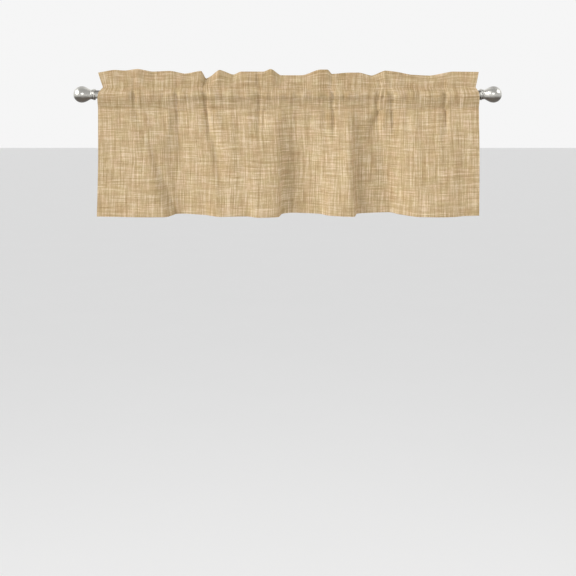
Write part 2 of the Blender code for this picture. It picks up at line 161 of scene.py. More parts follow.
# Creases: a soft ridge (rise over 0) or trough (rise under 0) along a line from
# its top to its foot, with its half width at each end. bow is how far its middle strays in X.
# The side of it that faces right is steep, and the one that faces left is gentle.
STEEP, GENTLE = 0.70, 2.00
FADE_IN, FADE_OUT = (-0.12, 0.18), (1.15, 0.72)  # shares of its length where it starts and ends
Crease = namedtuple("Crease", "name x_top z_top x_foot z_foot bow wide_top wide_foot rise")
CREASES = from_millimetres(Crease, [
    ("left edge pull", -566, 18, -585, 60, 0, 6, 10, 0.6),
    ("left pull line", -560, 12, -520, -20, 4, 5, 9, -1.4),
    ("header diagonal", -532, 4, -452, 74, 4, 6, 10, 1.4),
    ("header diagonal shade", -516, 6, -440, 68, 4, 6, 8, -0.8),
    ("first crest line", -490, -30, -452, -205, -4, 6, 13, 1.2),
    ("slope line", -476, -10, -405, -215, -6, 5, 12, -1.2),
    ("wedge", -424, -165, -378, -370, 6, 10, 16, -4.2),
    ("valley line", -342, 4, -336, -205, 3, 13, 18, -4),
    ("valley ridge", -366, -30, -378, -190, 0, 12, 16, 3.6),
    ("hem step ridge", -290, -215, -280, -372, 0, 12, 12, 0.6),
    ("notch pleat", -264, 34, -244, -135, 0, 4, 8, -6.2),
    ("notch pleat lip", -252, 20, -234, -100, 0, 4, 7, 3.4),
    ("notch fall", -227, -135, -201, -368, 4, 14, 20, -5.6),
    ("header knuckle", -190, 60, -178, 16, 0, 7, 5, -0.8),
    ("second crest line", -174, -60, -176, -330, 4, 14, 20, 1.6),
    ("twin ridge", -126, 60, -124, -150, 2, 7, 12, 2),
    ("twin line left", -95, 62, -90, -128, -2, 6, 10, -4.6),
    ("twin line right", -76, 40, -74, -120, 2, 5, 8, -3.6),
    ("header wave", -46, 74, -30, 30, 2, 6, 6, -0.6),
    ("wall brow", -22, 0, -20, -85, 0, 9, 10, 1.6),
    ("wall lip", -40, -100, -42, -370, 0, 10, 12, 1.2),
    ("bottom curl", 12, -250, 60, -372, 4, 14, 18, 1),
    ("third ridge", 100, -50, 106, -250, 2, 12, 18, 2),
    ("third line", 136, 30, 143, -130, 2, 4.5, 7, -4.6),
    ("third line lip", 148, 24, 155, -130, 2, 4, 7, 1),
    ("third header pull", 127, 72, 118, 30, 0, 5, 4, -1),
    ("third low ridge", 180, -160, 190, -370, 0, 12, 14, 1.8),
    ("step lip", 189, -70, 193, -370, 0, 7, 9, 1.8),
    ("vee first leg", 304, 30, 254, -125, 4, 6, 13, -6),
    ("vee first fall", 266, -60, 246, -160, 0, 11, 18, -3.6),
    ("vee middle", 306, 10, 296, -120, 0, 7, 11, 3.4),
    ("vee second leg", 309, 30, 331, -120, 0, 5, 8, -4.6),
    ("vee head", 303, 74, 314, 40, 0, 5, 5, -2.2),
    ("fourth ridge", 352, -30, 366, -300, 3, 14, 20, 1.4),
    ("fourth fall", 410, -10, 414, -240, 2, 10, 18, -1.8),
    ("right ridge", 462, -20, 470, -260, 2, 10, 16, 2),
    ("right diagonal", 432, 60, 486, 18, -4, 7, 5, 2.4),
    ("right diagonal shade", 420, 52, 474, 12, -4, 7, 5, -1.8),
    ("last line", 485, 26, 486, -122, 3, 4.5, 7, -5.4),
    ("last line lip", 498, 20, 500, -115, 3, 4, 8, 2.2),
    ("right pull", 560, 18, 578, 62, 0, 6, 10, 1.4),
])

# Waves that the gathering leaves along the pocket: their length, by how much they run ahead or
# behind, in radians, over what length that changes, and their share of the height.
Wave = namedtuple("Wave", "length wander over height")
POCKET_WAVES = [
    Wave(0.0470, 1.9, 0.41, 0.55), Wave(0.0310, 2.6, 0.27, 0.30), Wave(0.0175, 2.2, 0.19, 0.15)]
SIDE_FADE = (0.57, 0.42)  # the waves are weakest past the first distance from the middle
AT_SIDES = 0.45  # share of their height that is left there

# The small waves all over the cloth: how many, the shortest one's length, and how much longer
# each is than the last.
CRUMPLES, SHORTEST_CRUMPLE, CRUMPLE_STEP = 9, 0.024, 0.0075

# Where the sections of the cloth crowd together, to draw a sharp fold: place, half width, and
# how many more of them there are.
Crowd = namedtuple("Crowd", "x wide more")
CROWDS = [
    Crowd(-0.258, 0.016, 1.6), Crowd(-0.086, 0.016, 1.0), Crowd(-0.024, 0.013, 2.4),
    Crowd(0.142, 0.012, 1.6), Crowd(0.201, 0.011, 2.0), Crowd(0.292, 0.034, 0.7),
    Crowd(0.490, 0.013, 1.6), Crowd(-0.316, 0.010, 1.0), Crowd(-0.343, 0.008, 1.0)]

# Rings of a stitch: how far along it, in lengths, and how wide and how sunk, in radii.
StitchRing = namedtuple("StitchRing", "along share sunk")
STITCH_RINGS = [StitchRing(-0.5, 0.35, 1.2), StitchRing(-0.36, 1.0, 0.2),
                StitchRing(0.36, 1.0, 0.2), StitchRing(0.5, 0.35, 1.2)]
STITCH_SIDES = 6
STITCH_AHEAD = 0.0006  # a stitch points to where its line has got to this much further on

# ---- the weave ----
FLAT_MAP = "flat_cloth"  # where each point was on the cloth before it was sewn, in metres
PICTURE_MAP = "OFBake"  # the same, with the sheet's two sides fitted into a square
MAP_MARGIN = 0.002  # round each side in that square
CALM_STATIONS = 10  # waves shorter than this many stations each way are left out of the flat map
CALM_ROWS = 3  # and it is smoothed over this many rows each way
DOUBLED_FROM = 0.366  # along the cut cloth: past here the cloth is two layers deep
DOUBLED_EDGE = 0.004  # how gradually that begins
# Painted shade: where the cloth is two layers deep its colour is multiplied by this, so that the
# header and pocket look a little darker.
DOUBLED_PAINTED_SHADE = (0.93, 0.925, 0.915)
YARN_STRAY = 0.0012  # how far the yarns stray from straight lines
YARN_PARTED = 3.71  # how far apart in the noise two yarns that lie side by side are
SINGLE_REACH = 0.009  # how far a single thread runs before its colour changes
SINGLE_STRENGTH = 0.60  # how strong that change is
SHEEN, SHEEN_ROUGHNESS = 0.08, 0.45

# Bundles of yarn of about one colour: from one to the next, how far one runs before its colour
# changes, the noise's seed, how strong the change is, and how far they are shifted sideways.
Yarn = namedtuple("Yarn", "pitch reach seed strength shift")
WARP = [Yarn(0.0027, 0.120, 11.0, 1.25, 0.0), Yarn(0.0046, 0.130, 23.0, 0.20, 0.0011),
        Yarn(0.0019, 0.060, 31.0, 1.40, 0.0)]
WEFT = [Yarn(0.0027, 0.110, 41.0, 0.90, 0.0), Yarn(0.0046, 0.120, 53.0, 0.15, 0.0013),
        Yarn(0.0019, 0.050, 61.0, 1.30, 0.0)]

# Slubs and flecks in the warp, then in the weft: they show where the noise climbs from low to
# high. The tones say how much each kind brightens the cloth.
Slub = namedtuple("Slub", "pitch reach seed low high")
SLUBS = {
    "pale": (Slub(0.0029, 0.050, 71.0, 0.13, 0.21), Slub(0.0029, 0.050, 83.0, 0.13, 0.21)),
    "brown": (Slub(0.0033, 0.016, 97.0, 0.16, 0.24), Slub(0.0033, 0.018, 101.0, 0.17, 0.25)),
    "long pale": (Slub(0.0032, 0.070, 131.0, 0.17, 0.22), Slub(0.0031, 0.110, 149.0, 0.16, 0.21)),
}
SLUB_TONES = {"pale": 0.065, "brown": -0.055, "long pale": 0.080}

# Broad patches: how many there are in a metre across and along the cloth, the noise's seed and
# detail, and how strong they are.
Patches = namedtuple("Patches", "across along seed detail strength")
BANDS = Patches(62.0, 4.0, 3.0, 1.0, 0.30)
BARS = Patches(5.0, 50.0, 5.0, 1.0, 0.15)
CLOUDS = Patches(16.0, 16.0, 9.0, 2.0, 0.15)
WARP_STRAY = Patches(2.2, 5.0, 0.0, 0.0, YARN_STRAY)
WEFT_STRAY = Patches(4.0, 2.0, 7.0, 0.0, YARN_STRAY)

# Patches with a slight tint, which show where the noise climbs from low to high.
Tint = namedtuple("Tint", "across along seed low high share colour")
TINTS = [Tint(30.0, 26.0, 15.0, 0.40, 0.66, 0.55, (1.035, 0.975, 0.985)),
         Tint(26.0, 30.0, 19.0, 0.42, 0.66, 0.55, (0.985, 1.005, 0.925))]

# A yarn's colour: its tone, and how far it then is from the main colour towards the cream slub,
# or towards the shaded yarn if under 0.
YARN_COLOURS = [(0.02, -1.0), (0.30, -0.42), (0.50, 0.0), (0.70, 0.48), (0.98, 1.0)]

# The cloth's relief: how much single threads, bundles of yarn and pale slubs raise it, and how
# deep the relief of the weave and of the fine creases is.
THREAD_RELIEF, BUNDLE_RELIEF, SLUB_RELIEF = 0.45, 0.9, 0.35
WEAVE_DEPTH, WEAVE_STRENGTH = 0.00042, 0.40
CREASE_DEPTH, CREASE_STRENGTH = 0.0016, 0.10

# ---- the finials ----
FINIAL_LOW, FINIAL_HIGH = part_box("finial_right")
BALL_RADIUS = (FINIAL_HIGH.z - FINIAL_LOW.z) / 2
BALL_X = FINIAL_HIGH.x - BALL_RADIUS
TAPER_POWER = 1.2  # how full the taper is between the ball and its neck
PROFILE_STEPS = 24  # from the ball's tip to its girth, and from there to the neck
GROOVE_ALONG = 0.0366  # the groove between the bead and the ring, from the ball's middle
SOCKET_DEPTH = 0.0045  # of the socket that is seen past the rod
SOCKET_FLOOR = 0.004  # radius of the floor's inner ring
SOCKET_GAP = 0.0003  # between the rod and the socket, and how much the mouth flares
MOUTH_BEVEL = 0.0004  # how deep the flare is

# Finial outline, from the neck towards the rod: radius, and place along the axis from the
# middle of the ball.
TurnedPoint = namedtuple("TurnedPoint", "radius along")
COLLAR = from_millimetres(TurnedPoint, [
    (13.8, 30), (14.9, 30.3), (15.5, 31.1), (15.7, 32.2), (15.7, 33.3), (15.4, 34.2),
    (14.7, 34.9), (14.1, 35.3), (14, 36), (16.8, 36.4), (17.3, 36.8), (17.5, 37.4),
    (17.5, 41.2), (17.3, 41.8), (16.8, 42.2),
])
NECK_RADIUS, NECK_LENGTH = COLLAR[0]
COLLAR_END = COLLAR[-1].along

# Where the metal changes, from one place to another: how far from the groove, how far from the
# axis, how high over the axis, and how far along from the ball's middle. The heights mark painted
# dark reflections on the lower sides, the balls' tops and the rod's top.
NEAR_GROOVE = (0.0010, 0.0045)
DEEP = (0.0140, 0.0160)
PAINTED_UNDERSIDE_REFLECTION, PAINTED_BALL_CROWN_REFLECTION, PAINTED_ROD_CROWN_REFLECTION = (-0.0125, -0.0015), (0.0175, 0.0240), (0.0030, 0.0105)
PAST_COLLAR = (0.0420, 0.0428)
# How much it then is dulled or darkened; the last three are how strongly the painted dark
# reflections darken it.
GROOVE_DULL, WORN_DULL, CLOUD_DARK = 0.85, 0.14, 0.22
UNDERSIDE_REFLECTION_DARK, BALL_CROWN_REFLECTION_DARK, ROD_CROWN_REFLECTION_DARK = 0.90, 0.55, 0.85

# ---- the stage ----
CAMERA_X = 0.0011  # the camera is this far to the right of the rod's middle
FLOOR_REACH = 400.0  # half of the floor's side, so that its edge lies at the horizon
SUN_PLACE = (-2.4, -1.4, 0.95)
SUN_ANGLE = math.radians(22)
ROOM_ENDS, WALL_STARTS = -0.10, 0.60  # how far round to the back the brightness changes
Lamp = namedtuple("Lamp", "name place aim power wide high")
LAMPS = [
    Lamp("left_glint", (-2.3, -0.50, 1.05), (-0.63, 0.0, 0.0), 15.0, 0.85, 0.85),
    Lamp("right_glint", (2.3, -0.50, 1.05), (0.63, 0.0, 0.0), 15.0, 0.85, 0.85),
    Lamp("front", (0.10, -3.2, 0.35), (0.0, 0.0, -0.1), 11.0, 1.30, 0.95),
]


# ---- settings ----
def length_setting(name, description, default, **limits):
    """A length in metres."""
    return FloatProperty(name=name, description=description, default=default, min=0.0,
                         subtype="DISTANCE", unit="LENGTH", precision=4, **limits)


def factor_setting(name, description, default, most=1.0):
    """A plain number from 0 up."""
    return FloatProperty(name=name, description=description, default=default, min=0.0, max=most,
                         subtype="FACTOR" if most == 1.0 else "NONE")


def colour_setting(name, description, default):
    """A colour, in linear values."""
    return FloatVectorProperty(name=name, description=description, default=default, size=3,
                               min=0.0, max=1.0, subtype="COLOR")


class ClothSettings(PropertyGroup):
    """Sizes of the sewn cloth"""
    thickness: length_setting("Thickness", "Thickness of one layer of cloth", 0.0009)
    flat_width: length_setting("Cut Width", "Width of the cloth before it was sewn", 1.40)
    flat_length: length_setting("Cut Length", "Length of the cloth before it was sewn", 0.62)
    hem_depth: length_setting("Hem Depth", "Depth of the turned hem", 0.032)
    side_hem: length_setting("Side Hem", "Width of the turned side hems", 0.012)
    pocket_wave: length_setting("Pocket Waves", "Height of the gathers round the rod", 0.0030)
    panel_wave: length_setting("Panel Waves", "Height of the gathers under the pocket", 0.0016)
    header_wave: length_setting("Header Waves", "Height of the gathers in the header", 0.0013)
    crumple: length_setting("Crumple", "Height of the small uneven waves all over", 0.0003)
    sections: IntProperty(name="Sections", description="Sections across the cloth",
                          default=412, min=60, max=900)


class WeaveSettings(PropertyGroup):
    """Colours and thread sizes of the linen"""
    base: colour_setting("Straw", "The cloth's main colour", (0.540, 0.399, 0.228))
    dark: colour_setting("Shaded Yarn", "The darkest yarns", (0.315, 0.205, 0.085))
    light: colour_setting("Cream Slub", "The palest yarns", (0.850, 0.700, 0.500))
    thread: length_setting("Thread Pitch", "From one thread to the next", 0.0009)
    contrast: factor_setting("Contrast", "How much the yarns differ in colour", 0.375, 3.0)


class StitchSettings(PropertyGroup):
    """Sizes of the sewing thread's stitches"""
    pitch: length_setting("Stitch Pitch", "From one stitch to the next", 0.0032)
    length: length_setting("Stitch Length", "How much of a stitch shows", 0.0024)
    radius: length_setting("Thread Radius", "Radius of the sewing thread", 0.00022)


class MetalSettings(PropertyGroup):
    """Finish of the rod and finials"""
    nickel: colour_setting("Nickel", "Colour of the brushed nickel", (0.78, 0.765, 0.715))
    # Also the colour of the painted dark reflections on the finials' lower sides and tops and on
    # the rod's top.
    tarnish_and_painted_dark: colour_setting("Tarnish", "Colour where the finish has dulled", (0.075, 0.060, 0.046))
    roughness: factor_setting("Roughness", "How dull the nickel is", 0.24)
    sides: IntProperty(name="Sides", description="Steps round each finial", default=96, min=12)


class StageSettings(PropertyGroup):
    """Camera, lights and floor"""
    distance: length_setting("Camera Distance", "From the camera to the rod", 2.90)
    eye_drop: length_setting("Eye Level", "How far the camera is below the rod", 0.153)
    frame_width: length_setting("Frame Width", "Width of the view at the rod", 1.7856)
    centre_drop: length_setting("Frame Centre", "Middle of the view under the rod", 0.600)
    floor_drop: length_setting("Floor Drop", "How far the floor is below the rod", 1.95)
    floor: colour_setting("Floor", "Colour of the floor", (0.90, 0.90, 0.90))
    backdrop: factor_setting("Backdrop", "Brightness of the studio wall behind", 0.92, 4.0)
    sky: factor_setting("Fill", "Brightness of the room in front", 0.430, 4.0)
    key: factor_setting("Key Light", "Strength of the main light", 1.80, 20.0)


# ---- shader expressions ----
class Wire:
    """A node's output that can be used in Python expressions."""

    def __init__(self, shading, socket):
        self.shading, self.socket = shading, socket

    def maths(self, operation, *others):
        """This value first, then the others, through one Math node."""
        values = dict(enumerate((self, *others)))
        return self.shading.node("ShaderNodeMath", {"operation": operation}, values)[0]

    def __add__(self, other):
        return self.maths("ADD", other)

    def __sub__(self, other):
        return self.maths("SUBTRACT", other)

    def __rsub__(self, other):
        return self.shading.node("ShaderNodeMath", {"operation": "SUBTRACT"},
                                 {0: other, 1: self})[0]

    def __mul__(self, other):
        return self.maths("MULTIPLY", other)

    def __truediv__(self, other):
        return self.maths("DIVIDE", other)

    __radd__ = __add__
    __rmul__ = __mul__


class Shading:
    """The nodes of one material, or of the world."""

    def __init__(self, owner):
        owner.use_nodes = True
        self.owner, self.tree = owner, owner.node_tree
        self.tree.nodes.clear()

    def node(self, kind, settings=None, values=None):
        """Adds a node, sets it up, and returns its outputs. A list of stops fills a ramp."""
        made = self.tree.nodes.new(kind)
        for name, value in (settings or {}).items():
            if name == "stops":
                ramp = made.color_ramp.elements
                while len(ramp) < len(value):
                    ramp.new(0.5)
                for element, (place, colour) in zip(ramp, value):
                    element.position, element.color = place, (*colour, 1.0)
            else:
                setattr(made, name, value)
        for key, value in (values or {}).items():
            if isinstance(value, Wire):
                self.tree.links.new(value.socket, made.inputs[key])
            else:
                made.inputs[key].default_value = value
        return [Wire(self, socket) for socket in made.outputs]

    def vector(self, x, y, z=0.0):
        """A vector from its X, Y and Z."""
        return self.node("ShaderNodeCombineXYZ", None, {"X": x, "Y": y, "Z": z})[0]

    def parts(self, vector):
        """The X, Y and Z of a vector."""
        return self.node("ShaderNodeSeparateXYZ", None, {0: vector})

    def place(self):
        """Where each point is in its piece's own space."""
        return self.node("ShaderNodeTexCoord")[3]

    def noise(self, at, scale=1.0, detail=0.0, roughness=0.5):
        """Smooth noise, about 0.5."""
        return self.node("ShaderNodeTexNoise", {"noise_dimensions": "3D"},
                         {"Vector": at, "Scale": scale, "Detail": detail,
                          "Roughness": roughness})[0]

    def mix(self, factor, first, second, blend="MIX"):
        """Mixes colours."""
        return self.node("ShaderNodeMix", {"data_type": "RGBA", "blend_type": blend},
                         {0: factor, 6: first, 7: second})[2]

    def between(self, value, low, high):
        """0 under low, 1 over high, smooth between."""
        return self.node("ShaderNodeMapRange", {"interpolation_type": "SMOOTHSTEP"},
                         {"Value": value, "From Min": low, "From Max": high})[0]

    def bump(self, height, distance, strength=1.0, normal=None):
        """A normal tilted by a relief. It may start from another normal."""
        values = {"Height": height, "Distance": distance, "Strength": strength}
        if normal is not None:
            values["Normal"] = normal
        return self.node("ShaderNodeBump", None, values)[0]

    def finish(self, **values):
        """Ends the material in one shader."""
        values = {name.replace("_", " "): value for name, value in values.items()}
        shader = self.node("ShaderNodeBsdfPrincipled", None, values)[0]
        self.node("ShaderNodeOutputMaterial", None, {"Surface": shader})
        return self.owner


def opaque(colour):
    """A colour with its alpha."""
    return (*colour, 1.0)


def linen_material(s, weave):
    """Slub linen: uneven yarns both ways, with cream slubs and brown flecks."""
    u, v, _ = s.parts(s.node("ShaderNodeUVMap", {"uv_map": FLAT_MAP})[0])

    def patches(x, y, kind):
        """Broad patches, about 0."""
        at = s.vector(x * kind.across, y * kind.along, kind.seed)
        return (s.noise(at, 1.0, kind.detail) - 0.5) * kind.strength

    across, along = u + patches(u, v, WARP_STRAY), v + patches(u, v, WEFT_STRAY)

    def changing(place, run, pitch, reach, seed):
        """Yarns side by side, about 0, each changing slowly along its run."""
        which = (place / pitch).maths("FLOOR")
        return s.noise(s.vector(which * YARN_PARTED + seed, run / reach, seed)) - 0.5

    def mixed(place, run, yarns):
        return sum(changing(place + yarn.shift, run, yarn.pitch, yarn.reach, yarn.seed)
                   * yarn.strength for yarn in yarns)

    def slubs(warp, weft):
        """1 where a yarn of either way has a slub."""
        return (s.between(changing(across, along, *warp[:3]), warp.low, warp.high)
                + s.between(changing(along, across, *weft[:3]), weft.low, weft.high))

    warp, weft = mixed(across, along, WARP), mixed(along, across, WEFT)
    marks = {kind: slubs(*ways) for kind, ways in SLUBS.items()}
    single = (changing(across, along, weave.thread, SINGLE_REACH, 113.0)
              + changing(along, across, weave.thread, SINGLE_REACH, 127.0)) * SINGLE_STRENGTH
    cloudy = patches(u, v, CLOUDS)
    tone = (warp + weft + patches(across, along, BANDS) + patches(across, along, BARS)
            + cloudy + single) * weave.contrast
    for kind, mark in marks.items():
        tone = tone + mark * SLUB_TONES[kind]

    base, dark, light = Vector(weave.base), Vector(weave.dark), Vector(weave.light)
    stops = [(place, base.lerp(light if share > 0 else dark, abs(share)))
             for place, share in YARN_COLOURS]
    colour = s.node("ShaderNodeValToRGB", {"stops": stops}, {0: tone + 0.5})[0]
    # Painted shade: the two-layer header and pocket are made a little darker.
    doubled_painted_shade = s.between(v, DOUBLED_FROM - DOUBLED_EDGE, DOUBLED_FROM + DOUBLED_EDGE)
    colour = s.mix(doubled_painted_shade, colour, opaque(DOUBLED_PAINTED_SHADE), "MULTIPLY")
    for tint in TINTS:
        patch = s.noise(s.vector(u * tint.across, v * tint.along, tint.seed), 1.0, 1.0)
        where = s.between(patch, tint.low, tint.high) * tint.share
        colour = s.mix(where, colour, opaque(tint.colour), "MULTIPLY")

    warp_place, weft_place = across / weave.thread, along / weave.thread
    over = ((warp_place.maths("FLOOR") + weft_place.maths("FLOOR")) * 0.5).maths("FRACT") * 2.0
    warp_round, weft_round = ((place * math.pi).maths("SINE").maths("ABSOLUTE")
                              for place in (warp_place, weft_place))
    cloth_relief = warp_round * over + weft_round * (1.0 - over)
    relief = (cloth_relief * THREAD_RELIEF + (warp + weft) * BUNDLE_RELIEF
              + marks["pale"] * SLUB_RELIEF)
    crease = s.noise(s.vector(u * 38.0, v * 24.0, 25.0), 1.0, 2.0, 0.55)
    normal = s.bump(relief, WEAVE_DEPTH, WEAVE_STRENGTH,
                    s.bump(crease, CREASE_DEPTH, CREASE_STRENGTH))
    dull = 0.90 - marks["pale"] * 0.05 + cloudy * 0.10
    return s.finish(Base_Color=colour, Roughness=dull, Normal=normal, Specular_IOR_Level=0.22,
                    Sheen_Weight=SHEEN, Sheen_Roughness=SHEEN_ROUGHNESS)


def thread_material(s, weave):
    """Twisted sewing thread, a little paler than the cloth."""
    at = s.place()
    x, _, z = s.parts(at)
    uneven = s.noise(at, 90.0, 1.0)
    base = Vector(weave.base)
    colour = s.mix(uneven, opaque(base * 0.92), opaque(base.lerp(Vector(weave.light), 0.35)))
    twist = ((x + z) * 9000.0).maths("SINE") * 0.5 + 0.5
    return s.finish(Base_Color=colour, Roughness=0.65 + uneven * 0.15,
                    Normal=s.bump(twist, 0.00006, 0.6), Specular_IOR_Level=0.35)


def nickel_material(s, metal):
    """Brushed nickel: fine turned lines, cloudy polish, a little patina in the grooves, and
    painted dark reflections on the lower sides, the balls' tops and the rod's top.
    """
    at = s.place()
    x, y, z = s.parts(at)
    lines = s.noise(s.vector(x * 4200.0, y * 30.0, z * 30.0), 1.0, 1.0)
    cloudy = s.noise(at, 60.0, 3.0, 0.6)
    worn = s.between(s.noise(at, 240.0, 2.0), 0.56, 0.78)
    radius = (y * y + z * z).maths("SQRT")
    inward = BALL_X - x.maths("ABSOLUTE")
    near_groove = 1.0 - s.between((inward - GROOVE_ALONG).maths("ABSOLUTE"), *NEAR_GROOVE)
    deep = 1.0 - s.between(radius, *DEEP)
    dulled = near_groove * deep * GROOVE_DULL + worn * WORN_DULL
    # Painted reflection: the lower sides, the tops of the balls and the top of the rod are painted
    # darker, as if they mirrored a dark part of a room.
    uneven = z + (cloudy - 0.5) * 0.008
    underside_reflection = 1.0 - s.between(uneven, *PAINTED_UNDERSIDE_REFLECTION)
    ball_crown_reflection = s.between(uneven, *PAINTED_BALL_CROWN_REFLECTION)
    rod_crown_reflection = s.between(uneven, *PAINTED_ROD_CROWN_REFLECTION) * s.between(inward, *PAST_COLLAR)
    # Painted reflection: how strongly the dark reflections are painted into the colour at each
    # point.
    dark = (underside_reflection * UNDERSIDE_REFLECTION_DARK + ball_crown_reflection * BALL_CROWN_REFLECTION_DARK
            + rod_crown_reflection * ROD_CROWN_REFLECTION_DARK)
    colour = s.mix(dulled, opaque(metal.nickel), opaque(metal.tarnish_and_painted_dark))
    colour = s.mix(cloudy * CLOUD_DARK, colour, opaque(Vector(metal.nickel) * 0.72))
    colour = s.mix(dark, colour, opaque(metal.tarnish_and_painted_dark))
    rough = metal.roughness + cloudy * 0.10 + dulled * 0.22 + (lines - 0.5) * 0.06
    return s.finish(Base_Color=colour, Metallic=1.0, Roughness=rough,
                    Normal=s.bump(lines, 0.00003, 0.35))


def floor_material(s, stage):
    """A pale studio floor, very slightly worn."""
    worn = s.noise(s.place(), 1.2, 3.0)
    colour = s.mix(worn, opaque(stage.floor), opaque(Vector(stage.floor) * 0.985))
    return s.finish(Base_Color=colour, Roughness=0.75, Specular_IOR_Level=0.2)


def material_once(name, make, settings):
    """A material by its name, made the first time that it is asked for."""
    return bpy.data.materials.get(name) or make(Shading(bpy.data.materials.new(name)), settings)


# ---- curves through the tables ----
def smooth_through(knots, values, at):
    """Curves through the values that never swing past them, one for each column of values."""
    knots, values, at = (np.asarray(a, float) for a in (knots, values, at))
    if values.ndim > 1:
        return np.stack([smooth_through(knots, column, at) for column in values.T], axis=1)
    step = np.diff(knots)
    rise = np.diff(values) / step
    slope = np.zeros_like(values)
    before, after = rise[:-1], rise[1:]
    same_way = before * after > 0
    weight = (2 * step[1:] + step[:-1]) / (3 * (step[1:] + step[:-1]))
    mean = before * after / np.where(same_way, weight * after + (1 - weight) * before, 1.0)
    slope[1:-1] = np.where(same_way, mean, 0.0)
    slope[0], slope[-1] = rise[0], rise[-1]
    i = np.clip(np.searchsorted(knots, at) - 1, 0, len(step) - 1)
    t = (at - knots[i]) / step[i]
    near = (1 + 2 * t) * (1 - t) ** 2 * values[i] + t * (1 - t) ** 2 * step[i] * slope[i]
    far = t ** 2 * (3 - 2 * t) * values[i + 1] - t ** 2 * (1 - t) * step[i] * slope[i + 1]
    return near + far


def ease(value, low, high):
    """0 at low, 1 at high, smooth between."""
    t = np.clip((value - low) / (high - low), 0, 1)
    return t * t * (3 - 2 * t)


def fold_column(column, stations):
    """One column of the fold lines, at each station across the cloth."""
    knots = [line.x_pocket for line in FOLD_LINES]
    return smooth_through(knots, [getattr(line, column) for line in FOLD_LINES], stations)


def down_the_cloth(columns, z, haste=1.0):
    """A value between its pocket, middle and hem columns, at the height z of each station."""
    pocket, middle, hem = columns
    upper = 1 - (1 - np.clip((LOWER_SEAM_Z - z) / (LOWER_SEAM_Z - MIDDLE_Z), 0, 1)) ** haste
    lower = np.maximum((MIDDLE_Z - z) / (MIDDLE_Z - HEM_Z), 0) ** (1 + (haste - 1) * LOWER_HASTE)
    return pocket + (middle - pocket) * upper + (hem - middle) * lower


def gathers(stations, z):
    """How far the pinched gathers draw the cloth back towards the rod at the height z."""
    fade = np.clip((z - GATHER_FADE_Z) / (LOWER_SEAM_Z - GATHER_FADE_Z), 0, 1)
    depth = np.zeros_like(stations)
    for line in FOLD_LINES:
        if line.pinch:
            depth += line.pinch * np.exp(-((stations - line.x_pocket) / GATHER_WIDTH) ** 2)
    return depth * fade


def crowded_stations(count):
    """Places across the cloth, closer together at its sharp folds."""
    low, high = FOLD_LINES[0].x_pocket, FOLD_LINES[-1].x_pocket
    fine = np.linspace(low, high, 6000)
    density = np.ones_like(fine)
    for crowd in CROWDS:
        density += crowd.more * np.exp(-((fine - crowd.x) / crowd.wide) ** 2)
    share = np.concatenate([[0], np.cumsum((density[1:] + density[:-1]) / 2)])
    return np.interp(np.linspace(0, share[-1], count), share, fine)


def waves(stations, shift=0.0):
    """The pocket's uneven waves, about -1 to 1, weaker towards the sides."""
    total = np.zeros_like(stations)
    for i, wave in enumerate(POCKET_WAVES):
        wander = wave.wander * np.sin(2 * np.pi * stations / wave.over + 1.7 * i + shift)
        strength = 0.65 + 0.35 * np.sin(2 * np.pi * stations / (wave.over * 0.73) + 2.9 * i)
        phase = 2 * np.pi * stations / wave.length + wander + 2.1 * i + 0.4 * shift
        total += wave.height * strength * np.sin(phase)
    return total * (AT_SIDES + (1 - AT_SIDES) * ease(np.abs(stations), *SIDE_FADE))


def crumpled(x, z):
    """Small uneven waves over the whole cloth, about -1 to 1."""
    total = np.zeros(np.broadcast(x, z).shape)
    for i in range(CRUMPLES):
        turn = 0.55 * math.sin(2.3 * i + 0.4)
        length = SHORTEST_CRUMPLE + CRUMPLE_STEP * i
        along = x * math.cos(turn) + z * math.sin(turn)
        crosswise = z * math.cos(turn) - x * math.sin(turn)
        total += np.sin(2 * np.pi * along / length + 2.2 * np.sin(crosswise * 19 + 1.9 * i) + i)
    return total / 3.6


def creases(x, z):
    """How far the listed creases raise the cloth at each point."""
    total = np.zeros(np.broadcast(x, z).shape)
    for crease in CREASES:
        run = Vector((crease.x_foot - crease.x_top, crease.z_foot - crease.z_top))
        reach = run.length
        run /= reach
        dx, dz = x - crease.x_top, z - crease.z_top
        part = (dx * run.x + dz * run.y) / reach
        bow = crease.bow * np.sin(np.pi * np.clip(part, 0, 1))
        aside = dx * run.y - dz * run.x + bow
        wide = crease.wide_top + (crease.wide_foot - crease.wide_top) * np.clip(part, 0, 1)
        wide = wide * np.where((aside < 0) == (crease.rise > 0), STEEP, GENTLE)
        fade = ease(part, *FADE_IN) * ease(part, *FADE_OUT)
        total += crease.rise * fade * np.exp(-(aside / wide) ** 2)
    return total


# ---- cloth ----
def unit(vectors):
    """The vectors, each with a length of 1."""
    return vectors / np.linalg.norm(vectors, axis=-1, keepdims=True)


def unit_normals(points):
    """Normals of a grid of rows by stations, to the side that faces forward on a front layer."""
    return unit(np.cross(np.gradient(points, axis=1), np.gradient(points, axis=0)))


def interpolated(at, knots, points):
    """Points along a line, at the places wanted."""
    return np.stack([np.interp(at, knots, column) for column in points.T], axis=-1)


def run_along(points):
    """How far a line has run at each of its points."""
    return np.concatenate([[0], np.cumsum(np.linalg.norm(np.diff(points, axis=0), axis=1))])


def at_heights(grid, heights, wanted):
    """The point of each column of a grid where its height is the one wanted."""
    return np.array([interpolated(wanted[i], heights[:, i], grid[:, i])
                     for i in range(grid.shape[1])])


def pushed(strips):
    """One grid from strips of (rows, how far they are pushed along their normals)."""
    grid = np.array([row for rows, _ in strips for row in rows])
    push = np.concatenate([np.full(len(rows), push) for rows, push in strips])
    return grid + unit_normals(grid) * push[:, None, None]


def fold_over(first, second, way):
    """Rows of a half round fold from one row to another. way is 1 upwards, -1 downwards."""
    middle, arm = (first + second) / 2, (first - second) / 2
    rise = np.linalg.norm(arm, axis=1) * way
    rows = []
    for turn in np.linspace(0, math.pi, FOLD_ROWS + 2)[1:-1]:
        point = middle + arm * math.cos(turn)
        point[:, 2] += rise * math.sin(turn)
        rows.append(point)
    return np.array(rows)


